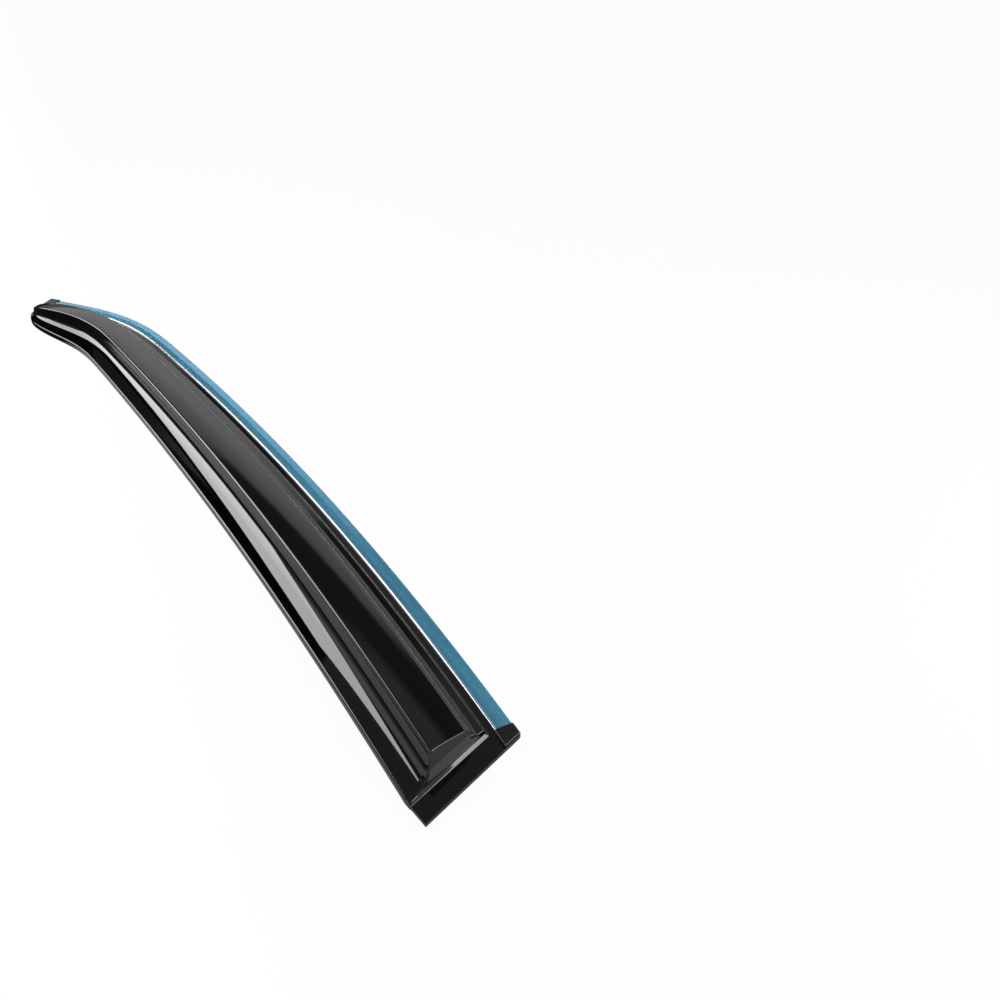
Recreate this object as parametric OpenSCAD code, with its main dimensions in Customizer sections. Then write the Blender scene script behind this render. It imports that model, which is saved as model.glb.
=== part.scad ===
// Stick-on side window rain deflector for a rear door, lying with its outer face up.
// One glossy moulded shell: a flat flange along the top edge, two small steps up to a raised
// face, a sharp crease, a hollow-curved skirt with a short lip, a sloping end wall with a flat
// tab at the wide end and a rounded nose at the narrow end. A bright metal strip with its blue
// protective film clips over the flange edge between two end caps. Foam tape with its
// release liner is on the back of the flange and of the tab.
// +X runs from the wide end to the narrow end, +Y from the trimmed edge to the lower edge,
// and z = 0 is the flat surface that the tape liners and the lower lip lie on.

/* [Outline] */
// Length of the trimmed edge, measured along its curve
edge_len = 712; // [696:1:745]
// Direction of the trimmed edge at the wide end, in degrees from +X
start_angle = -10.8; // [-14:0.1:-6]
// Gentle turn spread over the whole edge, in degrees
run_turn = 13.2; // [8:0.1:17]
// Extra turn of the bend before the narrow end, in degrees
bend_turn = 29; // [18:0.5:34]
// Where the bend starts, measured along the edge
bend_at = 546; // [505:1:556]
// Length of the bend, measured along the edge
bend_len = 148; // [130:1:190]
// Greatest width, square to the trimmed edge
wide_w = 76.8; // [70:0.2:88]
// How much the width has shrunk by the narrow end, before the nose rounds it off
taper_w = 22; // [12:0.5:28]
// How much the width has shrunk again at the wide end
mouth_w = 3; // [0:0.2:6]
// Length of the rounded nose at the narrow end
nose_len = 100; // [75:1:130]
// Width of the raised body that is left at the tip of the nose
tip_w = 13; // [8:0.5:20]
// Lean of the wide end away from square, in degrees
end_lean = 24; // [0:0.5:28]

/* [Section] */
// Thickness of the moulded shell
wall = 2.5; // [2:0.1:3]
// Width of the flat flange, trim included
flange_w = 16.5; // [15:0.5:20]
// Rise of the first step above the flange
step_rise = 4.2; // [2.5:0.1:6]
// Sideways run of the first step
step_run = 2; // [1.2:0.1:3.5]
// Width of the ledge between the two steps
ledge_w = 5.2; // [4:0.1:7]
// Sideways run of the second step
shoulder_run = 7; // [5.5:0.1:8.5]
// Rise of the shoulder above the flange
shoulder_rise = 14; // [11:0.1:16]
// Rise of the crease above the flange
crease_rise = 18; // [15:0.1:22]
// Extra height of the raised face halfway between shoulder and crease
face_crown = 0.6; // [0:0.1:1.2]
// Width of the skirt from the crease to the lower edge
skirt_w = 20; // [17:0.5:25]
// Width of the toe, the nearly flat lower part of the skirt
toe_w = 16.5; // [13:0.5:19]
// Rise of the toe from the lip to the foot of the steep part
toe_rise = 4.4; // [2:0.1:7]
// How far the hollow curve reaches up the steep part and out along the toe
skirt_round = 8.5; // [4:0.1:9]
// Height of the lip along the lower edge
lip_h = 4.6; // [4:0.1:7]

/* [End wall and tab] */
// Length of the flat tab at the wide end
tab_len = 16; // [12:0.5:26]
// How far the tab's lower edge lies inside the body's lip
tab_inset = 2.2; // [0:0.1:5]
// How far the end wall leans back from its foot to its top
wall_run = 5; // [4:0.2:12]
// How strongly the foot of the end wall is filleted
wall_fillet = 1.7; // [1:0.1:2.5]

/* [Trim strip] */
// Width of the strip on top of the flange
trim_w = 10; // [8:0.1:12]
// Thickness of the strip's sheet
trim_t = 0.6; // [0.4:0.05:0.9]
// Height of the crown along the middle of the strip
crown_h = 0.35; // [0.1:0.05:0.6]
// Extra height of the bead along the strip's inner edge
bead_h = 0.4; // [0.2:0.05:0.7]
// Width of that bead
bead_w = 1.5; // [1:0.1:2]
// Width of the lip that grips under the flange
grip_w = 4; // [3:0.1:6]
// Clearance between the strip and the flange
trim_gap = 0.1; // [0.05:0.05:0.25]
// Thickness of the protective film
film_t = 0.15; // [0.1:0.05:0.3]
// Clearance between the film and the strip
film_gap = 0.05; // [0.03:0.01:0.1]

/* [End caps] */
// Length of the cap at the wide end
cap_wide_len = 8.5; // [6:0.5:14]
// Length of the cap at the narrow end
cap_narrow_len = 9; // [6:0.5:14]
// How far a cap stands out past the strip all round
cap_over = 0.7; // [0.4:0.1:1.2]
// Clearance between a cap and the flange
cap_gap = 0.1; // [0.05:0.05:0.25]
// Clearance between a cap and the end of the strip
cap_end_gap = 0.2; // [0.1:0.05:0.5]

/* [Mounting tape] */
// Thickness of the foam tape
tape_t = 0.8; // [0.8:0.05:1.6]
// Thickness of the release liner
liner_t = 0.15; // [0.1:0.05:0.3]
// Width of the flange tape
tape_w = 9; // [6:0.5:10]
// Distance from the strip's grip lip to the tape
tape_inset = 1.2; // [0.5:0.1:2]
// Distance from either end of the flange to the tape
tape_end = 14; // [10:0.5:40]
// Length of the tab tape along the wide end
tab_tape_len = 46; // [30:1:54]
// Width of the tab tape
tab_tape_w = 10; // [6:0.5:11]
// How far the liners stand out past the tape at each end, as pull tabs
liner_pull = 1.5; // [0:0.1:3]

/* [Hidden] */

// Levels of the flange above the resting plane
under_z = tape_t + liner_t;
top_z = under_z + wall;
// Fullness of the nose's outline and how fast its height falls with it
nose_power = 2.8;
height_power = 1.45;
// Length over which the slanted wide end fans round to square
fan_len = 170;
// Step of the route table
route_step = 2;

function ease(t) = let (c = min(max(t, 0), 1)) c * c * (3 - 2 * c);
function unit(v) = v / norm(v);
function blend(a, b, t) = a + (b - a) * t;

// The trimmed edge as a route: its direction follows a formula and its points are summed up
function heading(s) = start_angle + run_turn * s / edge_len + bend_turn * ease((s - bend_at) / bend_len);
route_n = ceil(edge_len / route_step);
route = [for (i = 0, x = 0, y = 0; i <= route_n;
              x = x + route_step * cos(heading((i + 0.5) * route_step)),
              y = y + route_step * sin(heading((i + 0.5) * route_step)),
              i = i + 1) [i * route_step, x, y]];
route_x = [for (p = route) [p[0], p[1]]];
route_y = [for (p = route) [p[0], p[2]]];
function along(a) = [cos(a), sin(a)];
function route_at(s) = [lookup(s, route_x), lookup(s, route_y)] + along(heading(s)) * min(s, 0);
function lean(s) = end_lean * (1 - ease(s / fan_len));

// A point on the route's square line, and a point on its leaning line, w from the edge
function square_pt(s, w) = route_at(s) + w * along(heading(s) + 90);
function lean_pt(s, w) = route_at(s) + w / cos(lean(s)) * along(heading(s) + 90 + lean(s));

// Width of the deflector along the edge, and how much of the raised body is left at a station:
// its width in the nose, its height in the nose, and its height on the end wall
function full_w(s) = wide_w - taper_w * pow(s / edge_len, 2.6) - mouth_w * pow(1 - min(s / fan_len, 1), 2);
tip_share = tip_w / (full_w(edge_len) - flange_w);
tip_t = pow(1 - pow(tip_share, nose_power), 1 / nose_power);
function nose_share(s) =
    let (t = min(max((s - edge_len + nose_len) / nose_len, 0), 1) * tip_t)
    pow(1 - pow(t, nose_power), 1 / nose_power);
function nose_height(s) = pow(nose_share(s), height_power);
function wall_share(s) = pow(min(max((s - tab_len) / wall_run, 0), 1), wall_fillet);
function edge_w(s) =
    flange_w + (full_w(s) - tab_inset * (1 - wall_share(s)) - flange_w) * nose_share(s);

// Section corners at the greatest width: [distance from the edge, height, rounding, rounding steps]
step_w = flange_w + step_run;
shoulder_at = step_w + ledge_w + shoulder_run;
crease_at = wide_w - skirt_w;
corners = [
    [0, top_z, 0, 0],
    [flange_w, top_z, 1.2, 2],
    [step_w, top_z + step_rise, 1, 2],
    [step_w + ledge_w, top_z + step_rise + 0.4, 1.3, 2],
    [shoulder_at, top_z + shoulder_rise, 2.2, 3],
    [(shoulder_at + crease_at) / 2, top_z + (shoulder_rise + crease_rise) / 2 + face_crown, 9, 3],
    [crease_at, top_z + crease_rise, 0.9, 3],
    [wide_w - toe_w, lip_h + toe_rise, skirt_round, 6],
    [wide_w, lip_h, 0.8, 2],
    [wide_w, 0, 0, 0]
];
inner_steps = [0, 1, 1, 1, 2, 1, 1, 4, 0, 0];
function flat(c) = [c[0], c[1]];
// Unit normal of the stretch after corner i, to the inside of the shell
function inward(i) = let (d = unit(flat(corners[i + 1]) - flat(corners[i]))) [d[1], -d[0]];
// The same corners one wall thickness further in
function inset(i) =
    let (a = inward(max(i - 1, 0)), b = inward(min(i, len(corners) - 2)))
    flat(corners[i]) + wall * (a + b) / (1 + a * b);
inner_corners = [for (i = [0:len(corners) - 1]) concat(inset(i), [corners[i][2] + 0.3, inner_steps[i]])];

// A chain of corners with each one softened over its rounding length
function soft_corner(a, b, c, cut, n) =
    let (p = b + unit(a - b) * min(cut, 0.8 * norm(a - b)), q = b + unit(c - b) * min(cut, 0.8 * norm(c - b)))
    n == 0 ? [b] : [for (k = [0:n]) let (t = k / n) blend(blend(p, b, t), blend(b, q, t), t)];
function soft(c) = [
    flat(c[0]),
    for (i = [1:len(c) - 2])
        each soft_corner(flat(c[i - 1]), flat(c[i]), flat(c[i + 1]), c[i][2], c[i][3]),
    flat(c[len(c) - 1])
];
outer_line = soft(corners);
inner_line = soft(inner_corners);

// The section's shape fitted to a station: widths follow the lower edge, heights the two ends
function outer_pt(s, p) =
    let (k = (edge_w(s) - flange_w) / (wide_w - flange_w), h = wall_share(s) * nose_height(s))
    [p[0] <= flange_w ? p[0] : flange_w + (p[0] - flange_w) * k, top_z + (p[1] - top_z) * h];
function inner_pt(s, p) =
    let (si = s - wall, se = s + wall,
         k = max(edge_w(s) - wall - flange_w, 0.8) / (wide_w - wall - flange_w),
         h = wall_share(si) * (se > edge_len ? 0 : nose_height(se)))
    [p[0] <= flange_w ? p[0] : flange_w + (p[0] - flange_w) * k, under_z + (p[1] - under_z) * h];
// Height of the lip's lower edge: on the resting plane along the body, level with the back of
// the tab and of the nose tip at the ends
function lip_z(s) = under_z * (1 - wall_share(s) * min(nose_height(s) * 8, 1));

// Closed ring of the shell's section: out along its back, over the lip and home along its face
function lip_back(s) = inner_pt(s, inner_line[len(inner_line) - 2])[0];
function shell_ring(s) = [
    for (i = [0:len(inner_line) - 2]) inner_pt(s, inner_line[i]),
    [lip_back(s), lip_z(s)],
    [edge_w(s), lip_z(s)],
    for (i = [len(outer_line) - 2:-1:0]) outer_pt(s, outer_line[i])
];

// Joins equal rings of points into one closed solid
module loft(rings) {
    n = len(rings);
    m = len(rings[0]);
    polyhedron(
        points = [for (r = rings) each r],
        faces = [
            [for (j = [0:m - 1]) j],
            [for (j = [m - 1:-1:0]) (n - 1) * m + j],
            for (i = [0:n - 2], j = [0:m - 1]) let (k = (j + 1) % m) [i * m + j, (i + 1) * m + j, (i + 1) * m + k],
            for (i = [0:n - 2], j = [0:m - 1]) let (k = (j + 1) % m) [i * m + j, (i + 1) * m + k, i * m + k]
        ]);
}

// Stations along the edge: close together on the end wall, in the bend and towards the tip
run_n = 36;
nose_at = edge_len - nose_len;
bend_n = 10;
nose_n = 20;
wall_end = tab_len + wall_run;
shell_stations = concat(
    [0, tab_len - 0.01],
    [for (t = [0.2, 0.4, 0.6, 0.8, 0.92]) tab_len + wall_run * t],
    [for (t = [0.2, 0.4, 0.6, 0.8]) tab_len + wall_run + wall * t],
    [for (i = [0:run_n - 1]) wall_end + wall + (bend_at - wall_end - wall) * i / run_n],
    [for (i = [0:bend_n - 1]) bend_at + (nose_at - bend_at) * i / bend_n],
    [for (i = [0:nose_n]) nose_at + nose_len * sin(90 * i / nose_n)]);
strip_from = cap_wide_len + cap_end_gap;
strip_to = edge_len - cap_narrow_len - cap_end_gap;
strip_n = 24;
strip_stations = concat(
    [for (i = [0:strip_n]) strip_from + (bend_at - strip_from) * i / (strip_n + 1)],
    [for (i = [0:strip_n]) bend_at + (strip_to - bend_at) * i / strip_n]);

// The origin is the middle of the outline, on the resting plane
side_w = trim_gap + trim_t;
cap_side = side_w + cap_over;
lower_line = [for (s = shell_stations) lean_pt(s, edge_w(s))];
upper_line = [for (s = strip_stations) square_pt(s, -side_w - film_gap - film_t)];
outline = concat(lower_line, upper_line, cap_plan(0, cap_wide_len, end_lean, 1),
                 cap_plan(edge_len, cap_narrow_len, 0, -1));
origin = [for (k = [0, 1]) (min([for (p = outline) p[k]]) + max([for (p = outline) p[k]])) / 2];

function placed(p, z) = [p[0] - origin[0], p[1] - origin[1], z];

module visor_shell() {
    color("#101114")
    loft([for (s = shell_stations) [for (p = shell_ring(s)) placed(lean_pt(s, p[0]), p[1])]]);
}

// Strip section, from the bead on the flange over the crown and the rounded shoulder to the
// grip lip below. The shoulder's radius leaves two thirds of the sheet over the flange corner
strip_top = top_z + trim_gap + trim_t;
shoulder_r = 1.8 * trim_t;
grip_z = under_z - trim_gap;
crown_line = concat([
    [trim_w, strip_top - trim_t * 0.6],
    [trim_w - bead_w * 0.2, strip_top + bead_h],
    [trim_w - bead_w * 0.8, strip_top + bead_h],
    [trim_w - bead_w, strip_top],
    [trim_w * 0.65, strip_top + crown_h * 0.7],
    [trim_w * 0.48, strip_top + crown_h],
    [trim_w * 0.3, strip_top + crown_h * 0.8],
    [trim_w * 0.15, strip_top + crown_h * 0.4]],
    [for (a = [90:22.5:180])
        [-side_w + shoulder_r * (1 + cos(a)), strip_top - shoulder_r * (1 - sin(a))]]);
strip_line = concat(crown_line, [
    [-side_w, under_z + 0.3],
    [-side_w + 0.5, grip_z - trim_t * 0.8],
    [grip_w, grip_z - trim_t * 0.8],
    [grip_w, grip_z],
    [-trim_gap, grip_z],
    [-trim_gap, top_z + trim_gap],
    [trim_w, top_z + trim_gap]
]);
module trim_strip() {
    color("#c9ccd1")
    loft([for (s = strip_stations) [for (p = strip_line) placed(square_pt(s, p[0]), p[1])]]);
}

// The film follows the strip's crown from beside the bead down over the shoulder
film_path = [for (i = [3:len(crown_line) - 1]) crown_line[i]];
function film_dir(i) = unit(film_path[min(i + 1, len(film_path) - 1)] - film_path[max(i - 1, 0)]);
function film_pt(i, d) = film_path[i] + d * [film_dir(i)[1], -film_dir(i)[0]];
film_line = concat(
    [for (i = [0:len(film_path) - 1]) film_pt(i, film_gap + film_t)],
    [for (i = [len(film_path) - 1:-1:0]) film_pt(i, film_gap)]);
module trim_film() {
    color("#4fb4e0")
    loft([for (s = strip_stations) [for (p = film_line) placed(square_pt(s, p[0]), p[1])]]);
}

// End caps: a rounded block over the flange corner with a slot that the flange sits in.
// side is 1 at the wide end, where the cap runs on from its end face along +X, and -1 at the other
function cap_plan(s, l, slant, side) =
    let (e = along(heading(s)), n = along(heading(s) + 90), p = route_at(s), w = trim_w + cap_over,
         k = -tan(slant), o = cap_side)
    [p + n * w + e * (w * k - side * cap_gap * 3), p + n * w + e * side * l,
     p - n * o + e * side * l, p - n * o + e * (-o * k - side * cap_gap * 3)];
cap_top = strip_top + bead_h + cap_over * 0.6;
cap_r = 1.6;
cap_low = 0.2;
function cap_profile() = concat(
    [[-cap_side, cap_low + 0.5], [-cap_side + 0.5, cap_low], [trim_w + cap_over, cap_low]],
    [for (a = [0:15:90]) [trim_w + cap_over - cap_r * 0.6 * (1 - cos(a)), cap_top - cap_r * 0.6 * (1 - sin(a))]],
    [for (a = [90:15:180]) [-cap_side + cap_r * (1 + cos(a)), cap_top - cap_r * (1 - sin(a))]]);
module cap(s, l, slant, side) {
    difference() {
        intersection() {
            translate([0, 0, -1])
            linear_extrude(cap_top + 2)
            polygon([for (p = cap_plan(s, l, slant, side)) [p[0] - origin[0], p[1] - origin[1]]]);
            translate(placed(route_at(s), 0))
            rotate([90, 0, heading(s) + 90])
            translate([0, 0, -20])
            linear_extrude(40)
            polygon(cap_profile());
        }
        translate(placed(route_at(s), under_z - cap_gap))
        rotate([0, 0, heading(s)])
        translate([-20, -cap_gap, 0])
        cube([40, trim_w + 10, wall + 2 * cap_gap]);
        translate(placed(route_at(s), -1))
        rotate([0, 0, heading(s)])
        translate([-20, grip_w, 0])
        cube([40, trim_w + 10, under_z + 1]);
    }
}
module trim_cap_wide() {
    color("#17181a")
    cap(0, cap_wide_len, end_lean, 1);
}
module trim_cap_narrow() {
    color("#17181a")
    cap(edge_len, cap_narrow_len, 0, -1);
}

// Ribbon along the flange between two distances from the edge
module ribbon(w0, w1, s0, s1, z, t) {
    n = 60;
    translate([0, 0, z])
    linear_extrude(t)
    polygon([for (i = [0:n]) let (p = square_pt(blend(s0, s1, i / n), w0)) [p[0] - origin[0], p[1] - origin[1]],
             for (i = [n:-1:0]) let (p = square_pt(blend(s0, s1, i / n), w1)) [p[0] - origin[0], p[1] - origin[1]]]);
}
tape_w0 = grip_w + tape_inset;
tape_s0 = cap_wide_len + tape_end;
tape_s1 = edge_len - cap_narrow_len - tape_end;
module flange_tape() {
    color("#2b2d30")
    ribbon(tape_w0, tape_w0 + tape_w, tape_s0, tape_s1, liner_t, tape_t);
}
module flange_liner() {
    color("#c8352c")
    ribbon(tape_w0, tape_w0 + tape_w, tape_s0 - liner_pull, tape_s1 + liner_pull, 0, liner_t);
}

// Straight pads on the back of the tab, parallel to the wide end
tab_mid_w = (flange_w + wide_w) / 2;
module tab_pad(l, z, t) {
    translate(placed(lean_pt(tab_len / 2, tab_mid_w), z))
    rotate([0, 0, heading(0) + lean(tab_len / 2)])
    translate([-tab_tape_w / 2, -l / 2, 0])
    cube([tab_tape_w, l, t]);
}
module tab_tape() {
    color("#2b2d30")
    tab_pad(tab_tape_len, liner_t, tape_t);
}
module tab_liner() {
    color("#c8352c")
    tab_pad(tab_tape_len + 2 * liner_pull, 0, liner_t);
}

visor_shell();
trim_strip();
trim_film();
trim_cap_wide();
trim_cap_narrow();
flange_tape();
flange_liner();
tab_tape();
tab_liner();
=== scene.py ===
# %% [markdown]
# # A stick-on window rain deflector
# This lesson dresses a measured frame of one rear-door rain deflector: a glossy black moulded
# shell with a bright steel trim strip under blue protective film. The frame is already the
# right size, so every curve below is worked out from the same few formulas as the frame, only
# with many more points, and each surface is a grid of numbers made with numpy.

# %% Load the measured frame
import math
import bpy
import numpy as np
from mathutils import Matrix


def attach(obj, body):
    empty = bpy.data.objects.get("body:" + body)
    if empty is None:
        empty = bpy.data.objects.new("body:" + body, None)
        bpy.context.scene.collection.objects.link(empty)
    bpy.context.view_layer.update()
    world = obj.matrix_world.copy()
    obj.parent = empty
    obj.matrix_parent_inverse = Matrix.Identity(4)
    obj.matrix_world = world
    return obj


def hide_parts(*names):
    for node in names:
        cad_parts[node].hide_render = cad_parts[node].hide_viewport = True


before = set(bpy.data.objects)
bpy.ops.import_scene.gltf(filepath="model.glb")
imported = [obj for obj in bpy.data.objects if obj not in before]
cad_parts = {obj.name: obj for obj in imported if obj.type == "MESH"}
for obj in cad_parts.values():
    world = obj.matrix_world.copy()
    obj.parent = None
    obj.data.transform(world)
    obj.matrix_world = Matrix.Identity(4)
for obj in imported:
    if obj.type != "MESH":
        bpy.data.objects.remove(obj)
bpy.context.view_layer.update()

print("pieces of the frame:", sorted(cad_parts))

# %% [markdown]
# ## The route of the trimmed edge
# A deflector follows the window frame, so its long edge is a slow curve with one bend near the
# narrow end. It could be drawn as a spline by eye. Here its direction is a formula of the
# distance along it, and the points are the running sum of short steps in that direction, which
# keeps every distance along the edge a true length in millimetres.

# %% Route: direction, position and the leaning wide end
EDGE_LEN, START_ANGLE, RUN_TURN = 710.0, -10.763, 13.163
BEND_TURN, BEND_AT, BEND_LEN = 29.0, 544.0, 148.0
END_LEAN, FAN_LEN, ROUTE_STEP = 24.0, 170.0, 2.0
ORIGIN = np.array([338.682, 10.7766])


def ease(t):
    """Smooth step: three t squared less two t cubed, with t held between 0 and 1."""
    c = np.clip(t, 0.0, 1.0)
    return c * c * (3 - 2 * c)


def heading(s):
    """Direction in radians: a start angle, a turn shared evenly, and an eased extra bend."""
    return np.radians(START_ANGLE + RUN_TURN * s / EDGE_LEN + BEND_TURN * ease((s - BEND_AT) / BEND_LEN))


step_mid = (np.arange(math.ceil(EDGE_LEN / ROUTE_STEP)) + 0.5) * ROUTE_STEP
route_s = np.arange(len(step_mid) + 1) * ROUTE_STEP
route_xy = np.vstack([[0, 0], np.cumsum(ROUTE_STEP * np.column_stack(
    [np.cos(heading(step_mid)), np.sin(heading(step_mid))]), axis=0)])


def route_at(s):
    """Point of the edge at distance s, read between the summed points."""
    s = np.asarray(s, float)
    over = np.minimum(s, 0)
    return np.stack([np.interp(s, route_s, route_xy[:, 0]) + over * np.cos(heading(s)),
                     np.interp(s, route_s, route_xy[:, 1]) + over * np.sin(heading(s))], axis=-1)


def across(s, w, lean=0.0):
    """Point w from the edge, on a line turned lean degrees from square and made longer to match."""
    a = heading(s) + math.pi / 2 + np.radians(lean)
    r = w / np.cos(np.radians(lean))
    return route_at(s) + np.stack([r * np.cos(a), r * np.sin(a)], axis=-1) - ORIGIN


def end_lean(s):
    """Lean of the section: all of it at the wide end, none after the fan length."""
    return END_LEAN * (1 - ease(s / FAN_LEN))


print("edge runs from", np.round(across(0.0, 0.0), 1), "to", np.round(across(EDGE_LEN, 0.0), 1), "mm")

# %% [markdown]
# ## Widths and heights along the route
# The raised body narrows slowly, closes into a rounded nose at one end and rises out of a flat
# tab at the other. A modeller could push points about until it looks right. A few formulas say
# the same thing exactly. Two shares between 0 and 1 tell how much width and how much height is
# left in the nose. The end wall is a short slanted foot on the tab and a steep flat wall over
# it, and the body is cut off where it would stand above them. All of these meet in small rounds.

# %% Widths and heights at a station
WIDE_W, TAPER_W, MOUTH_W, NOSE_LEN, TIP_W = 76.8, 22.0, 2.4, 100.0, 13.0
FLANGE_W, TAB_LEN, TAB_INSET = 15.4, 13.5, 2.6
FOOT_RUN, FOOT_SLOPE, WALL_RUN, WALL_ROUND, CREASE_RISE = 1.9, 1.2, 6.2, 1.2, 17.95
WALL_END = TAB_LEN + WALL_RUN
TAB_FROM = -0.8
TAPER_POWER, NOSE_POWER, HEIGHT_POWER = 2.6, 2.8, 1.45
FOOT_SOFT, WALL_SOFT, LOW_SHARE = 0.3, 0.5, 0.25


def full_w(s):
    """Width before the nose: the greatest width less a power of s, less a little at the mouth."""
    taper = TAPER_W * (np.maximum(s, 0) / EDGE_LEN) ** TAPER_POWER
    return WIDE_W - taper - MOUTH_W * (1 - np.minimum(s / FAN_LEN, 1)) ** 2


tip_share = TIP_W / (full_w(EDGE_LEN) - FLANGE_W)
tip_t = (1 - tip_share ** NOSE_POWER) ** (1 / NOSE_POWER)


def nose_share(s):
    """Superellipse quarter: the power-2.8 root of one less t to the power 2.8."""
    t = np.clip((s - EDGE_LEN + NOSE_LEN) / NOSE_LEN, 0, 1) * tip_t
    return (1 - t ** NOSE_POWER) ** (1 / NOSE_POWER)


def higher(a, b, soft):
    """The higher of two heights, raised by a square of how near they are, so they meet round."""
    gap = np.maximum(soft - np.abs(a - b), 0)
    return np.maximum(a, b) + gap * gap / soft / 4


def ramp(s):
    """Height of the end wall over the tab: flat, then the foot's slope, then the steep wall."""
    u = s - TAB_LEN
    foot_rise = FOOT_SLOPE * FOOT_RUN
    steep = foot_rise + (CREASE_RISE - foot_rise) / (WALL_RUN - FOOT_RUN) * (u - FOOT_RUN)
    return higher(higher(0.0, FOOT_SLOPE * u, FOOT_SOFT), steep, WALL_SOFT)


def cut_off(rise, slope_rise):
    """The lower of the body's rise and the end wall's, with a round that low bodies make smaller."""
    return -higher(-rise, -slope_rise, np.clip(rise * LOW_SHARE, 0.001, WALL_ROUND))


def edge_w(s):
    """Distance from the trimmed edge to the lower edge, drawn in evenly over the tab."""
    drawn_in = TAB_INSET * (1 - np.clip(s / WALL_END, 0, 1))
    return FLANGE_W + (full_w(s) - drawn_in - FLANGE_W) * nose_share(s)


print("width at the wide end, middle and tip:", np.round(edge_w(np.array([0.0, 355.0, EDGE_LEN])), 1), "mm")

# %% [markdown]
# ## The section of the shell
# Cut across, the moulding is one wall of even thickness: flange, two steps, a slightly crowned
# face, a sharp crease, a hollow skirt and a short lip. Its corners are a list of points, and
# every corner is softened by a small curve, because heated sheet drawn over a mould has no
# sharp corner. The inner side is the same chain moved in by the wall, mitred at each corner.
# Along the part the face turns a little about its crease, and the hollow of the skirt gets
# tighter, so there is one chain for every station, all kept in one array.

# %% Corner chains, softened
WALL, UNDER_Z = 2.5, 0.95
TOP_Z = UNDER_Z + WALL
STEP_W = FLANGE_W + 2.0
STEP_RISE, LEDGE_W, LEDGE_RISE, SHOULDER_RUN, SHOULDER_RISE = 4.2, 6.0, 5.05, 6.8, 14.0
SHOULDER_W = STEP_W + LEDGE_W + SHOULDER_RUN
CREASE_W, TOE_W = WIDE_W - 20.0, WIDE_W - 16.5
LIP_H, TOE_RISE = 4.6, 3.6
FACE_TWIST, TWIST_SLIDE, LEVEL_AT, FACE_CROWN = 1.8, 0.65, 300.0, 0.6
SKIRT_ROUND, ROUND_LOSS, ROUND_FROM = 11.0, 5.5, 200.0
SHOULDER, CREASE, FACE_MID, TOE_FOOT = 4, 6, 5, 7
plain_chain = np.array([
    [0, TOP_Z], [FLANGE_W, TOP_Z], [STEP_W, TOP_Z + STEP_RISE], [STEP_W + LEDGE_W, TOP_Z + LEDGE_RISE],
    [SHOULDER_W, TOP_Z + SHOULDER_RISE], [0, 0], [CREASE_W, TOP_Z + CREASE_RISE],
    [TOE_W, LIP_H + TOE_RISE], [WIDE_W, LIP_H], [WIDE_W, 0]])
plain_round = np.array([0, 1.2, 1.0, 1.3, 2.2, 8.0, 1.7, SKIRT_ROUND, 1.3, 0])
curve_steps = np.array([0, 6, 6, 6, 10, 10, 10, 20, 9, 0])


def corners_at(s):
    """Chain of every station: the shoulder goes down and out by a twist that falls evenly with s."""
    chain = np.repeat(plain_chain[None], len(s), axis=0)
    chain[:, SHOULDER] -= (FACE_TWIST * (1 - s / LEVEL_AT))[:, None] * [TWIST_SLIDE, 1.0]
    chain[:, FACE_MID] = (chain[:, SHOULDER] + chain[:, CREASE]) / 2 + [0, FACE_CROWN]
    return chain


def rounding_at(s):
    """Rounding of every corner at every station: the skirt's hollow loses reach evenly with s."""
    cut = np.repeat(plain_round[None], len(s), axis=0)
    cut[:, TOE_FOOT] -= ROUND_LOSS * np.clip((s - ROUND_FROM) / (EDGE_LEN - NOSE_LEN - ROUND_FROM), 0, 1)
    return cut


def mitred(chain, wall):
    """Chain moved to its right by the wall: each corner goes by the sum of its two sides'
    normals, divided by one plus their dot product."""
    d = np.diff(chain, axis=1)
    d /= np.linalg.norm(d, axis=2, keepdims=True)
    normal = np.stack([d[..., 1], -d[..., 0]], axis=-1)
    a = np.concatenate([normal[:, :1], normal], axis=1)
    b = np.concatenate([normal, normal[:, -1:]], axis=1)
    return chain + wall * (a + b) / (1 + (a * b).sum(axis=2, keepdims=True))


def toward(b, a, cut):
    """Point on the way from b to a at the cut, or at four fifths of the way if that is nearer."""
    length = np.linalg.norm(a - b, axis=1)
    return b + (a - b) * np.minimum(cut / length, 0.8)[:, None]


def softened(chain, cut, steps):
    """Each corner becomes the square curve between the points that lie its cut before and after."""
    out = [chain[:, :1]]
    for i in range(1, chain.shape[1] - 1):
        b = chain[:, i]
        p, q = toward(b, chain[:, i - 1], cut[:, i]), toward(b, chain[:, i + 1], cut[:, i])
        t = np.linspace(0, 1, steps[i] + 1)[None, :, None]
        out.append(p[:, None] * (1 - t) ** 2 + b[:, None] * 2 * t * (1 - t) + q[:, None] * t ** 2)
    return np.concatenate(out + [chain[:, -1:]], axis=1)


end_s = np.array([0.0, EDGE_LEN])
two_ends = softened(corners_at(end_s), rounding_at(end_s), curve_steps)
print("points across the outer side:", two_ends.shape[1])
print("top of the face:", np.round(two_ends[..., 1].max(axis=1), 1), "mm")

# %% [markdown]
# ## From rings to a closed skin
# Every long piece here is a row of closed rings joined by four-sided faces, with one face over
# each end. Blender could loft or bridge them in edit mode. Making the faces as one array of
# index numbers is quicker, and the sign of the enclosed volume tells if the skin is inside out.

# %% Mesh helpers
MM = 0.001


def add_mesh(name, verts, quads, caps, sharp=35):
    """Puts a grid into a new object in metres, smooth except over the sharp angle."""
    mesh = bpy.data.meshes.new(name)
    mesh.from_pydata((verts * MM).tolist(), [], quads.tolist() + caps)
    mesh.update()
    mesh.shade_smooth()
    mesh.set_sharp_from_angle(angle=math.radians(sharp))
    obj = bpy.data.objects.new(name, mesh)
    bpy.context.scene.collection.objects.link(obj)
    return obj


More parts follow.
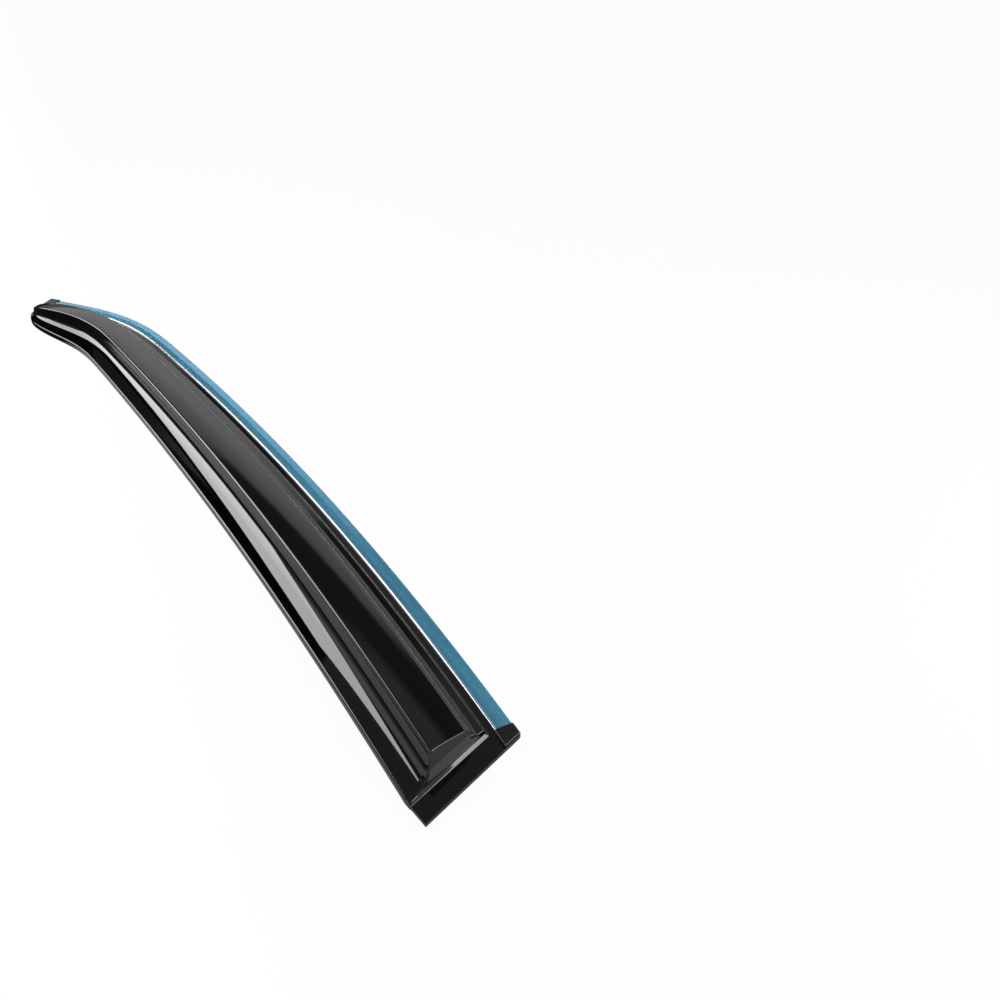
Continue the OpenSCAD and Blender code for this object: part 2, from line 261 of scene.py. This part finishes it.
def skin(name, rings, sharp=35):
    """Closed skin through rings[i, j]: quad i, j joins ring i to ring i + 1 and point j to j + 1."""
    n, m = rings.shape[:2]
    i, j = np.meshgrid(np.arange(n - 1), np.arange(m), indexing="ij")
    k = (j + 1) % m
    quads = np.stack([i * m + j, (i + 1) * m + j, (i + 1) * m + k, i * m + k], axis=-1).reshape(-1, 4)
    verts = rings.reshape(-1, 3)
    p = verts[quads]
    volume = np.einsum("ij,ij->i", p[:, 0], np.cross(p[:, 1], p[:, 2])).sum() \
        + np.einsum("ij,ij->i", p[:, 0], np.cross(p[:, 2], p[:, 3])).sum()
    ends = [list(range(m)), list(range(n * m - 1, (n - 1) * m - 1, -1))]
    if volume < 0:
        quads, ends = quads[:, ::-1], [e[::-1] for e in ends]
    print(name, "has", 2 * len(quads), "side triangles")
    return add_mesh(name, verts, quads, ends, sharp)


def soften_edges(obj, width_mm, segments=2, angle=40):
    """A narrow bevel on every edge over the angle, as a moulded or sheared edge has, and normals
    weighed by the area of the faces."""
    bevel = obj.modifiers.new("edge", "BEVEL")
    bevel.width, bevel.segments = width_mm * MM, segments
    bevel.limit_method, bevel.angle_limit = "ANGLE", math.radians(angle)
    weighted = obj.modifiers.new("flat_stays_flat", "WEIGHTED_NORMAL")
    weighted.keep_sharp, weighted.weight = True, 60


# %% [markdown]
# ## The moulded shell
# On the real part a black acrylic sheet is drawn over a mould and trimmed, so outer face, steps,
# skirt, end wall and nose are one skin. The section is fitted to each station: distances past
# the flange shrink with the width, and heights shrink in the nose and stop at the end wall's
# slope. Stations lie close together on that wall, in the bend and towards the tip, where the
# form turns fastest. The two long flat stretches of the section would shade as if they were
# bent, because a corner's normal is a mean of its faces. A modifier that weighs that mean by
# the area of the faces keeps them flat.

# %% Fit the section to the stations
LEAST_W, INNER_SOFTER = 0.8, 0.3
LIP_FALL, LIP_HOLD = 2.0, 8.0
BODY_FROM, BODY_EVEN = 22.5, 46.0


def outer_points(s, line):
    """Outer side: distances past the flange scaled by the width, heights cut off by the wall."""
    s, w, z = s[:, None], line[..., 0], line[..., 1]
    k = (edge_w(s) - FLANGE_W) / (WIDE_W - FLANGE_W)
    w = np.where(w <= FLANGE_W, w, FLANGE_W + (w - FLANGE_W) * k)
    return w, TOP_Z + cut_off((z - TOP_Z) * nose_share(s) ** HEIGHT_POWER, ramp(s))


def inner_points(s, line):
    """Inner side: the same, read one wall further from either closed end."""
    s, w, z = s[:, None], line[..., 0], line[..., 1]
    k = np.maximum(edge_w(s) - WALL - FLANGE_W, LEAST_W) / (WIDE_W - WALL - FLANGE_W)
    nose = np.where(s + WALL > EDGE_LEN, 0, nose_share(s + WALL) ** HEIGHT_POWER)
    w = np.where(w <= FLANGE_W, w, FLANGE_W + (w - FLANGE_W) * k)
    return w, UNDER_Z + cut_off((z - UNDER_Z) * nose, ramp(s - WALL))


def lip_z(s):
    """Foot of the lip: on the resting plane along the body, level with the back at the ends. It
    comes down over the first 2 mm of the end wall and goes up in the last eighth of the height."""
    down = np.minimum(ramp(s) / LIP_FALL, 1) * np.minimum(nose_share(s) ** HEIGHT_POWER * LIP_HOLD, 1)
    return UNDER_Z * (1 - down)


shell_s = np.concatenate([
    [TAB_FROM, 8], np.linspace(TAB_LEN - 1, WALL_END + 2, 48), np.linspace(BODY_FROM, BODY_EVEN, 13)[:-1],
    np.linspace(BODY_EVEN, BEND_AT, 92)[:-1], np.linspace(BEND_AT, EDGE_LEN - NOSE_LEN, 20)[:-1],
    EDGE_LEN - NOSE_LEN + NOSE_LEN * np.sin(np.radians(np.linspace(0, 90, 52)))])
chains, cuts = corners_at(shell_s), rounding_at(shell_s)
wo, zo = outer_points(shell_s, softened(chains, cuts, curve_steps)[:, :-1])
inner_steps = np.maximum(curve_steps // 2, 1)
wi, zi = inner_points(shell_s, softened(mitred(chains, WALL), cuts + INNER_SOFTER, inner_steps)[:, :-2])
foot = np.column_stack([wi[:, -1], edge_w(shell_s)])
ring_w = np.hstack([wi, foot, wo[:, ::-1]])
ring_z = np.hstack([zi, np.repeat(lip_z(shell_s)[:, None], 2, axis=1), zo[:, ::-1]])
s_grid = np.repeat(shell_s[:, None], ring_w.shape[1], axis=1)
shell_xy = across(s_grid, ring_w, end_lean(s_grid))
shell = skin("moulded_shell", np.dstack([shell_xy, ring_z]), sharp=42)
soften_edges(shell, 0.3, 2, 50)
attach(shell, "root")
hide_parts("visor_shell")

# %% [markdown]
# ## The steel trim strip and its film
# The strip is thin stainless sheet rolled round the flange's edge: a narrow bead on its inner
# side, a crown that rises quickly and falls slowly, a rounded shoulder and a lip that grips
# below. The crown is two straight slopes with the round meeting of the end wall between them,
# and a profile carried along the route gives all of it. The film is a second thin skin that
# starts beside the bead and goes down over the shoulder, a hair above the steel, with a few
# shallow lifts where it has let go.

# %% Carry the strip's profile along the route
TRIM_W, TRIM_T, TRIM_GAP, BEAD_H, BEAD_W, CROWN_H = 10.6, 0.6, 0.1, 0.55, 1.6, 0.7
GRIP_W, FILM_T, FILM_GAP = 4.0, 0.15, 0.05
THINNER, LOWER, LIFT_H = 0.05, 0.02, 0.045
CAP_WIDE_LEN, CAP_NARROW_LEN, CAP_END_GAP = 8.5, 9.0, 0.2
SIDE_W = TRIM_GAP + TRIM_T
STRIP_TOP = TOP_Z + TRIM_GAP + TRIM_T
SHOULDER_R = 1.8 * TRIM_T
GRIP_Z = UNDER_Z - TRIM_GAP
GRIP_LOW = GRIP_Z - TRIM_T * 0.8
FOLD_UP, FOLD_IN = 0.3, 0.5

bead_a = np.radians(np.linspace(0, 180, 13))
bead = np.column_stack([TRIM_W - BEAD_W / 2 + BEAD_W / 2 * np.cos(bead_a),
                        STRIP_TOP + BEAD_H * np.sin(bead_a)])
crown_w = np.linspace(TRIM_W - BEAD_W, SHOULDER_R - SIDE_W, 26)[1:]
CROWN_IN, CROWN_OUT, CROWN_SOFT = 0.296, 0.155, 0.6
rise_in, rise_out = CROWN_IN * (TRIM_W - BEAD_W - crown_w), CROWN_OUT * (crown_w - crown_w[-1])
ridge = np.maximum(CROWN_SOFT - np.abs(rise_in - rise_out), 0) ** 2 / CROWN_SOFT / 4
ridge *= np.minimum(rise_in, rise_out) / np.minimum(rise_in, rise_out).max()
crown = np.column_stack([crown_w, STRIP_TOP + np.minimum(rise_in, rise_out) - ridge])
shoulder_a = np.radians(np.linspace(90, 180, 12))[1:]
shoulder = np.column_stack([-SIDE_W + SHOULDER_R * (1 + np.cos(shoulder_a)),
                            STRIP_TOP - SHOULDER_R * (1 - np.sin(shoulder_a))])
strip_face = np.vstack([bead, crown, shoulder])
strip_line = np.vstack([[[TRIM_W, STRIP_TOP - TRIM_T * 0.6]], strip_face, [
    [-SIDE_W, UNDER_Z + FOLD_UP], [-SIDE_W + FOLD_IN, GRIP_LOW], [GRIP_W, GRIP_LOW],
    [GRIP_W, GRIP_Z], [-TRIM_GAP, GRIP_Z], [-TRIM_GAP, TOP_Z + TRIM_GAP], [TRIM_W, TOP_Z + TRIM_GAP]]])


def carried(profile, s):
    """Rings of a profile [distance from the edge, height] at stations s, square to the route."""
    grid_s = np.repeat(s[:, None], len(profile), axis=1)
    return np.dstack([across(grid_s, np.broadcast_to(profile[:, 0], grid_s.shape)),
                      np.broadcast_to(profile[:, 1], grid_s.shape)])


strip_s = np.concatenate([np.linspace(CAP_WIDE_LEN + CAP_END_GAP, BEND_AT, 110)[:-1],
                          np.linspace(BEND_AT, EDGE_LEN - CAP_NARROW_LEN - CAP_END_GAP, 60)])
strip = skin("steel_strip", carried(strip_line, strip_s), sharp=50)
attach(strip, "root")
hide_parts("trim_strip")

# %% Lay the film over the strip
film_path = np.vstack([[[TRIM_W - BEAD_W, STRIP_TOP]], crown, shoulder[:9]])
along = np.gradient(film_path, axis=0)
along /= np.linalg.norm(along, axis=1, keepdims=True)
outward = np.column_stack([along[:, 1], -along[:, 0]])
LIFT_WAVE, DRIFT_WAVE, SIDE_WAVE = 0.19, 0.043, 0.071  # radians per mm: 33, 146 and 88 mm long
lift_t = np.linspace(0, 1, len(film_path))[None, :]
lift_s = strip_s[:, None]
lift = LIFT_H * (0.5 + 0.5 * np.sin(lift_s * LIFT_WAVE + 2.0 * np.sin(lift_s * DRIFT_WAVE))
                 * np.sin(lift_s * SIDE_WAVE + 5 * lift_t)) * np.sin(np.pi * lift_t) ** 0.6


def film_side(height):
    """The strip's crown moved outward by a height that may differ from point to point."""
    w = film_path[None, :, 0] + outward[None, :, 0] * height
    z = film_path[None, :, 1] + outward[None, :, 1] * height
    return w, z


top_w, top_z = film_side(FILM_GAP + FILM_T - THINNER + lift)
low_w, low_z = film_side(FILM_GAP - LOWER + lift)
film_w = np.hstack([top_w, low_w[:, ::-1]])
film_z = np.hstack([top_z, low_z[:, ::-1]])
grid_s = np.repeat(strip_s[:, None], film_w.shape[1], axis=1)
film = skin("blue_film", np.dstack([across(grid_s, film_w), film_z]), sharp=60)
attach(film, "root")
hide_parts("trim_film")

# %% [markdown]
# ## The end caps
# Each end of the strip is finished with a small moulded clip that straddles the flange corner.
# Its profile is a C: round outside, with the slot that the flange sits in. The outer end at the
# wide side is cut on the slant of the deflector's own end, so its rings lean; a bevel rounds
# what the mould would round.

# %% Straddle the flange corners
CAP_OVER, CAP_GAP = 0.7, 0.1
CAP_SIDE = SIDE_W + CAP_OVER
CAP_TOP = STRIP_TOP + max(BEAD_H, CROWN_H) + CAP_OVER * 0.6
CAP_LOW = 0.2
CAP_W = TRIM_W + CAP_OVER
CAP_INNER_R, CAP_OUTER_R, CAP_CUT = 0.96, 1.6, 0.5
inner_a = np.radians(np.linspace(0, 90, 7))
side_a = np.radians(np.linspace(90, 180, 9))
cap_inner = np.column_stack([CAP_W - CAP_INNER_R * (1 - np.cos(inner_a)),
                             CAP_TOP - CAP_INNER_R * (1 - np.sin(inner_a))])
cap_outer = np.column_stack([-CAP_SIDE + CAP_OUTER_R * (1 + np.cos(side_a)),
                             CAP_TOP - CAP_OUTER_R * (1 - np.sin(side_a))])
cap_line = np.vstack([
    [[-CAP_GAP, GRIP_Z], [-CAP_GAP, TOP_Z + CAP_GAP], [CAP_W, TOP_Z + CAP_GAP]], cap_inner[1:], cap_outer,
    [[-CAP_SIDE, CAP_LOW + CAP_CUT], [-CAP_SIDE + CAP_CUT, CAP_LOW], [GRIP_W, CAP_LOW], [GRIP_W, GRIP_Z]]])


def cap_piece(name, node, s, length, slant, side):
    """Rings from the outer end, moved along the edge by the slant, to the strip's end."""
    e = np.array([np.cos(heading(s)), np.sin(heading(s))])
    n = np.array([-e[1], e[0]])
    w, z = cap_line[:, 0], cap_line[:, 1]
    start = -w * math.tan(math.radians(slant)) - side * CAP_GAP * 3
    share = np.linspace(0, 1, 4)[:, None]
    run = start[None] * (1 - share) + side * length * share
    xy = route_at(s) - ORIGIN + w[None, :, None] * n + run[:, :, None] * e
    cap = skin(name, np.dstack([xy, np.broadcast_to(z, run.shape)]), sharp=40)
    soften_edges(cap, 0.35, 3, 40)
    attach(cap, "root")
    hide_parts(node)
    return cap


cap_wide = cap_piece("wide_end_cap", "trim_cap_wide", 0.0, CAP_WIDE_LEN, END_LEAN, 1)
cap_narrow = cap_piece("narrow_end_cap", "trim_cap_narrow", EDGE_LEN, CAP_NARROW_LEN, 0.0, -1)

# %% [markdown]
# ## Tape and liners on the back
# Foam tape with a pull-off liner is what holds a deflector to the door. Each is a flat ribbon:
# along the flange it follows the route, and under the tab it is a straight pad. The frame's
# own ribbons already have the right shape, so they stay and only get better materials.

# %% Name the frame's own tape pieces
BACK_NAMES = ("flange_tape", "flange_liner", "tab_tape", "tab_liner")
back_pieces = {name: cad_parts[name] for name in BACK_NAMES}
print({name: type(piece).__name__ for name, piece in back_pieces.items()})

# %% [markdown]
# ## Materials
# Colours are written as they look on a screen, in hex, and one function turns them to the linear
# numbers that the shader needs. One small function adds a node with its settings and links.

# %% Colour and node helpers
def linear(hex_code):
    """Screen colour to linear: a straight part near black, and a power of 2.4 above it."""
    c = np.array([int(hex_code[i:i + 2], 16) for i in (1, 3, 5)]) / 255
    return (*np.where(c <= 0.04045, c / 12.92, ((c + 0.055) / 1.055) ** 2.4).tolist(), 1.0)


def put(tree, kind, settings=None, **links):
    """Adds one node: settings go to its fields or sockets, and each link feeds the named socket."""
    node = tree.nodes.new(kind)
    for key, value in (settings or {}).items():
        if isinstance(key, str) and hasattr(node, key):
            setattr(node, key, value)
        else:
            node.inputs[key].default_value = value
    for key, source in links.items():
        numbered = key[0] == "_" and key[1:].isdigit()
        tree.links.new(source, node.inputs[int(key[1:]) if numbered else key.replace("_", " ")])
    return node


def new_material(name):
    """An empty material with its output node, and its node tree."""
    mat = bpy.data.materials.new(name)
    mat.use_nodes = True
    mat.node_tree.nodes.clear()
    return mat, mat.node_tree, put(mat.node_tree, "ShaderNodeOutputMaterial")


def dress(obj, mat):
    """Gives every material slot of an object the one material."""
    if not obj.data.materials:
        obj.data.materials.append(mat)
    for i in range(len(obj.data.materials)):
        obj.data.materials[i] = mat
    print(obj.name, "wears", mat.name)


# %% [markdown]
# ### Black acrylic, drawn and polished
# The shell is deep black acrylic (PMMA). It has no colour detail of its own, so all that the eye
# reads is the sharp mirror of the room, a very slow waviness left by the drawing, and a little
# dust and fine handling marks that blur the mirror in places. The waviness is a low bump about
# 30 mm long, and the marks only touch the roughness.

# %% Acrylic
acrylic, tree, out = new_material("black_acrylic_moulded_polished")
coords = put(tree, "ShaderNodeTexCoord")
waves = put(tree, "ShaderNodeTexNoise", {"Scale": 34.0, "Detail": 1.0, "Roughness": 0.4},
            Vector=coords.outputs["Object"])
marks = put(tree, "ShaderNodeTexNoise", {"Scale": 900.0, "Detail": 3.0, "Roughness": 0.6},
            Vector=coords.outputs["Object"])
haze = put(tree, "ShaderNodeMapRange", {"From Min": 0.5, "From Max": 0.8, "To Min": 0.035, "To Max": 0.075},
           Value=marks.outputs["Fac"])
wave_bump = put(tree, "ShaderNodeBump", {"Strength": 0.05, "Distance": 0.0004}, Height=waves.outputs["Fac"])
gloss = put(tree, "ShaderNodeBsdfPrincipled", {"Base Color": linear("#060607"), "IOR": 1.49},
            Roughness=haze.outputs["Result"], Normal=wave_bump.outputs["Normal"])
tree.links.new(gloss.outputs["BSDF"], out.inputs["Surface"])
dress(shell, acrylic)

# %% [markdown]
# ### Bright rolled stainless steel
# The strip is bright-annealed stainless sheet. Rolling leaves very fine lines along its length,
# so its mirror is clear along the strip and a little soft across it. Noise stretched along X
# gives the lines.

# %% Steel
steel, tree, out = new_material("stainless_steel_bright_rolled")
coords = put(tree, "ShaderNodeTexCoord")
drawn = put(tree, "ShaderNodeMapping", {"Scale": (40.0, 2600.0, 2600.0)}, Vector=coords.outputs["Object"])
lines = put(tree, "ShaderNodeTexNoise", {"Scale": 1.0, "Detail": 2.0}, Vector=drawn.outputs["Vector"])
line_rough = put(tree, "ShaderNodeMapRange", {"To Min": 0.08, "To Max": 0.2}, Value=lines.outputs["Fac"])
metal = put(tree, "ShaderNodeBsdfPrincipled", {"Base Color": linear("#D4D6DA"), "Metallic": 1.0},
            Roughness=line_rough.outputs["Result"])
tree.links.new(metal.outputs["BSDF"], out.inputs["Surface"])
dress(strip, steel)

# %% [markdown]
# ### Blue protective film
# A thin tinted polyethylene film, low-tack, over bright steel. Most of its light goes through,
# bounces off the steel and comes back blue, and a little is scattered in the milky plastic.
# Small lifts and pressure marks a few millimetres long make the mirror behind it swim.

# %% Film
film_mat, tree, out = new_material("polyethylene_film_blue_tinted")
coords = put(tree, "ShaderNodeTexCoord")
wrinkle = put(tree, "ShaderNodeTexNoise", {"Scale": 170.0, "Detail": 2.0, "Roughness": 0.5},
              Vector=coords.outputs["Object"])
film_bump = put(tree, "ShaderNodeBump", {"Strength": 0.25, "Distance": 0.0003},
                Height=wrinkle.outputs["Fac"])
tint = put(tree, "ShaderNodeMix", {"data_type": "RGBA", "blend_type": "MIX"})
tint.inputs[6].default_value = linear("#98E2FA")
tint.inputs[7].default_value = linear("#8ADAF8")
tree.links.new(wrinkle.outputs["Fac"], tint.inputs[0])
tinted = put(tree, "ShaderNodeBsdfPrincipled",
             {"IOR": 1.35, "Roughness": 0.06, "Transmission Weight": 0.84},
             Normal=film_bump.outputs["Normal"])
tree.links.new(tint.outputs[2], tinted.inputs["Base Color"])
tree.links.new(tinted.outputs["BSDF"], out.inputs["Surface"])
dress(film, film_mat)

# %% [markdown]
# ### Satin moulded nylon for the caps
# The clips are injection-moulded black nylon with a fine spark-eroded grain, about a fifth of a
# millimetre, that spreads each highlight.

# %% Caps
nylon, tree, out = new_material("nylon_black_injection_moulded")
coords = put(tree, "ShaderNodeTexCoord")
grain = put(tree, "ShaderNodeTexNoise", {"Scale": 4500.0, "Detail": 2.0}, Vector=coords.outputs["Object"])
grain_bump = put(tree, "ShaderNodeBump", {"Strength": 0.3, "Distance": 0.00005},
                 Height=grain.outputs["Fac"])
satin = put(tree, "ShaderNodeBsdfPrincipled",
            {"Base Color": linear("#0C0C0D"), "IOR": 1.53, "Roughness": 0.22},
            Normal=grain_bump.outputs["Normal"])
tree.links.new(satin.outputs["BSDF"], out.inputs["Surface"])
dress(cap_wide, nylon)
dress(cap_narrow, nylon)

# %% [markdown]
# ### Foam tape and its liner
# The tape is closed-cell acrylic foam, dark grey, with cells of about a third of a millimetre
# that show on its cut sides. The liner is red polyethylene film, smooth with a faint emboss.

# %% Foam and liner
foam, tree, out = new_material("acrylic_foam_closed_cell")
coords = put(tree, "ShaderNodeTexCoord")
cells = put(tree, "ShaderNodeTexVoronoi", {"Scale": 3000.0}, Vector=coords.outputs["Object"])
cell_ramp = put(tree, "ShaderNodeValToRGB", Fac=cells.outputs["Distance"])
cell_ramp.color_ramp.elements[0].color = linear("#1F2022")
cell_ramp.color_ramp.elements[1].color = linear("#393B3F")
cell_bump = put(tree, "ShaderNodeBump", {"Strength": 0.5, "Distance": 0.0001},
                Height=cells.outputs["Distance"])
soft_foam = put(tree, "ShaderNodeBsdfPrincipled", {"IOR": 1.45, "Roughness": 0.85},
                Base_Color=cell_ramp.outputs["Color"], Normal=cell_bump.outputs["Normal"])
tree.links.new(soft_foam.outputs["BSDF"], out.inputs["Surface"])

red_film, tree, out = new_material("polyethylene_liner_red")
coords = put(tree, "ShaderNodeTexCoord")
emboss = put(tree, "ShaderNodeTexVoronoi", {"Scale": 900.0}, Vector=coords.outputs["Object"])
emboss_bump = put(tree, "ShaderNodeBump", {"Strength": 0.15, "Distance": 0.00005},
                  Height=emboss.outputs["Distance"])
shade = put(tree, "ShaderNodeTexNoise", {"Scale": 60.0, "Detail": 2.0}, Vector=coords.outputs["Object"])
reds = put(tree, "ShaderNodeValToRGB", Fac=shade.outputs["Fac"])
reds.color_ramp.elements[0].color = linear("#B22A22")
reds.color_ramp.elements[1].color = linear("#C93A30")
liner_skin = put(tree, "ShaderNodeBsdfPrincipled", {"IOR": 1.5, "Roughness": 0.28},
                 Base_Color=reds.outputs["Color"], Normal=emboss_bump.outputs["Normal"])
tree.links.new(liner_skin.outputs["BSDF"], out.inputs["Surface"])
dress(back_pieces["flange_tape"], foam)
dress(back_pieces["tab_tape"], foam)
dress(back_pieces["flange_liner"], red_film)
dress(back_pieces["tab_liner"], red_film)

# %% [markdown]
# ## Floor, lamps and room
# A black gloss part shows nothing but its surroundings, so the room is the look. It could be
# a photographed panorama, but a few plain things are easier to place. A large soft lamp beyond
# the narrow end draws the silver band down the hollow skirt, and a black card takes one side
# off it so that the flat toe under that band stays dark. A second lamp beside the wide end
# lights the end wall's foot, and a pale wall low in the room greys the crowned face. Over that
# wall come a dark band and a dim ceiling. The part lies on white paper whose edge runs from ten
# centimetres off the wide end to under the nose, and the steep skirt mirrors the dark table
# past it. The camera sees plain white with the part's faint shadow.

# %% Floor
floor_mesh = bpy.data.meshes.new("floor")
FLOOR_HALF, FLOOR_Z = 9.0, -0.0003
floor_corners = [(x * FLOOR_HALF, y * FLOOR_HALF, FLOOR_Z) for x, y in ((-1, -1), (1, -1), (1, 1), (-1, 1))]
floor_mesh.from_pydata(floor_corners, [], [(0, 1, 2, 3)])
floor = bpy.data.objects.new("floor", floor_mesh)
bpy.context.scene.collection.objects.link(floor)
paper, tree, out = new_material("matt_white_paper_on_dark_table")
PAPER_EDGE, PAPER_SOFT, PAPER_ACROSS = 0.072, 0.01, (0.264, 0.965, 0.0)
coords = put(tree, "ShaderNodeTexCoord")
reach = put(tree, "ShaderNodeVectorMath", {"operation": "DOT_PRODUCT", 1: PAPER_ACROSS},
            _0=coords.outputs["Object"])
beyond = put(tree, "ShaderNodeMapRange", {"From Min": PAPER_EDGE, "From Max": PAPER_EDGE + PAPER_SOFT},
             Value=reach.outputs["Value"])
sheet_or_table = put(tree, "ShaderNodeValToRGB", Fac=beyond.outputs["Result"])
sheet_or_table.color_ramp.elements[0].color = linear("#E2E2E2")
sheet_or_table.color_ramp.elements[1].color = linear("#303030")
matt = put(tree, "ShaderNodeBsdfDiffuse", {}, Color=sheet_or_table.outputs["Color"])
glow = put(tree, "ShaderNodeEmission", {"Color": (1, 1, 1, 1), "Strength": 1.0})
path = put(tree, "ShaderNodeLightPath")
share = put(tree, "ShaderNodeMapRange",
            {"From Min": 0.0, "From Max": PAPER_EDGE, "To Min": 0.95, "To Max": 1.0},
            Value=reach.outputs["Value"])
seen = put(tree, "ShaderNodeMath", {"operation": "MULTIPLY"},
           _0=path.outputs["Is Camera Ray"], _1=share.outputs["Result"])
sheet = put(tree, "ShaderNodeMixShader", {}, Fac=seen.outputs["Value"],
            _1=matt.outputs["BSDF"], _2=glow.outputs["Emission"])
tree.links.new(sheet.outputs["Shader"], out.inputs["Surface"])
dress(floor, paper)

# %% Soft lamps
def soft_lamp(name, target, az, el, dist, width, height, radiance):
    """Rectangle that stands off a target point in a direction, facing it. Its power is radiance
    times pi times area."""
    a, e = math.radians(az), math.radians(el)
    data = bpy.data.lights.new(name, "AREA")
    data.shape, data.size, data.size_y = "RECTANGLE", width, height
    data.energy = radiance * math.pi * width * height
    lamp = bpy.data.objects.new(name, data)
    bpy.context.scene.collection.objects.link(lamp)
    away = np.array([math.cos(e) * math.cos(a), math.cos(e) * math.sin(a), math.sin(e)])
    lamp.location = np.array(target) + dist * away
    lamp.rotation_euler = (math.pi / 2 - e, 0, a + math.pi / 2)
    lamp.visible_camera = False
    print(name, "gives", round(data.energy, 2), "W")
    return lamp


def card_before(name, lamp, corners, gap):
    """Black card in a lamp's own axes, a gap in front of it. The corners are in metres from the
    lamp's middle, to its left and up."""
    turn = np.array(lamp.rotation_euler.to_matrix())
    points = [np.array(lamp.location) + turn @ np.array([x, y, -gap]) for x, y in corners]
    mesh = bpy.data.meshes.new(name)
    mesh.from_pydata([p.tolist() for p in points], [], [tuple(range(len(points)))])
    card = bpy.data.objects.new(name, mesh)
    bpy.context.scene.collection.objects.link(card)
    card.visible_camera = False
    return card


LAMP_RADIANCE, CARD_GAP = 7.0, 0.02
nose_lamp = soft_lamp("lamp_beyond_the_nose", target=(-0.14, 0.04, 0.015), az=15.5, el=26,
                      dist=0.945, width=0.54, height=0.76, radiance=LAMP_RADIANCE)
CARD_CORNERS = [(-0.29, -0.40), (-0.045, -0.40), (-0.19, 0.06), (-0.205, 0.40), (-0.29, 0.40)]
card = card_before("black_card", nose_lamp, CARD_CORNERS, CARD_GAP)
felt, tree, out = new_material("black_felt")
nap = put(tree, "ShaderNodeBsdfDiffuse", {"Color": linear("#0A0A0A")})
tree.links.new(nap.outputs["BSDF"], out.inputs["Surface"])
dress(card, felt)
soft_lamp("lamp_beside_the_tab", target=(-0.32, 0.04, 0.010), az=237, el=29.5,
          dist=0.8, width=0.36, height=0.58, radiance=LAMP_RADIANCE)

# %% Room
world = bpy.data.worlds.new("room")
bpy.context.scene.world = world
world.use_nodes = True
tree = world.node_tree
tree.nodes.clear()
coords = put(tree, "ShaderNodeTexCoord")
split = put(tree, "ShaderNodeSeparateXYZ", {}, Vector=coords.outputs["Generated"])
wall_ramp = put(tree, "ShaderNodeValToRGB", Fac=split.outputs["Z"])
stops = [(0.0, 0.22), (0.12, 0.22), (0.21, 0.9), (0.39, 1.0), (0.46, 0.6), (0.474, 0.07), (0.545, 0.07),
         (0.575, 0.3), (0.66, 0.3), (0.74, 0.2), (1.0, 0.3)]
levels = wall_ramp.color_ramp.elements
while len(levels) < len(stops):
    levels.new(0.5)
for element, (at, level) in zip(levels, stops):
    element.position = at
    element.color = (level, level, level, 1)
path = put(tree, "ShaderNodeLightPath")
room = put(tree, "ShaderNodeBackground", {"Strength": 1.0}, Color=wall_ramp.outputs["Color"])
white = put(tree, "ShaderNodeBackground", {"Color": (1, 1, 1, 1), "Strength": 1.0})
mixed = put(tree, "ShaderNodeMixShader", {}, Fac=path.outputs["Is Camera Ray"],
            _1=room.outputs["Background"], _2=white.outputs["Background"])
put(tree, "ShaderNodeOutputWorld", {}, Surface=mixed.outputs["Shader"])
print("levels of the room from the horizon to straight up:", len(stops))

# %% [markdown]
# ## Camera
# The camera stands half a metre above the table beside the wide end and looks down at 35
# degrees, near enough that the far end looks much smaller.

# %% Camera
camera_data = bpy.data.cameras.new("camera")
camera_data.lens, camera_data.sensor_width = 43.2, 36.0
camera_data.clip_start = 0.01
CAMERA_FROM_START, CAMERA_H, LOOK_DOWN, LOOK_TURN = (-361.77, 299.71), 0.491, 35, 231.63
camera = bpy.data.objects.new("camera", camera_data)
bpy.context.scene.collection.objects.link(camera)
camera.location = (*((np.array(CAMERA_FROM_START) - ORIGIN) * MM).tolist(), CAMERA_H)
camera.rotation_euler = (math.radians(90 - LOOK_DOWN), 0, math.radians(LOOK_TURN))
print("camera at", [round(v, 3) for v in camera.location], "m")
bpy.context.scene.camera = camera
bpy.context.scene.view_settings.view_transform = "Standard"
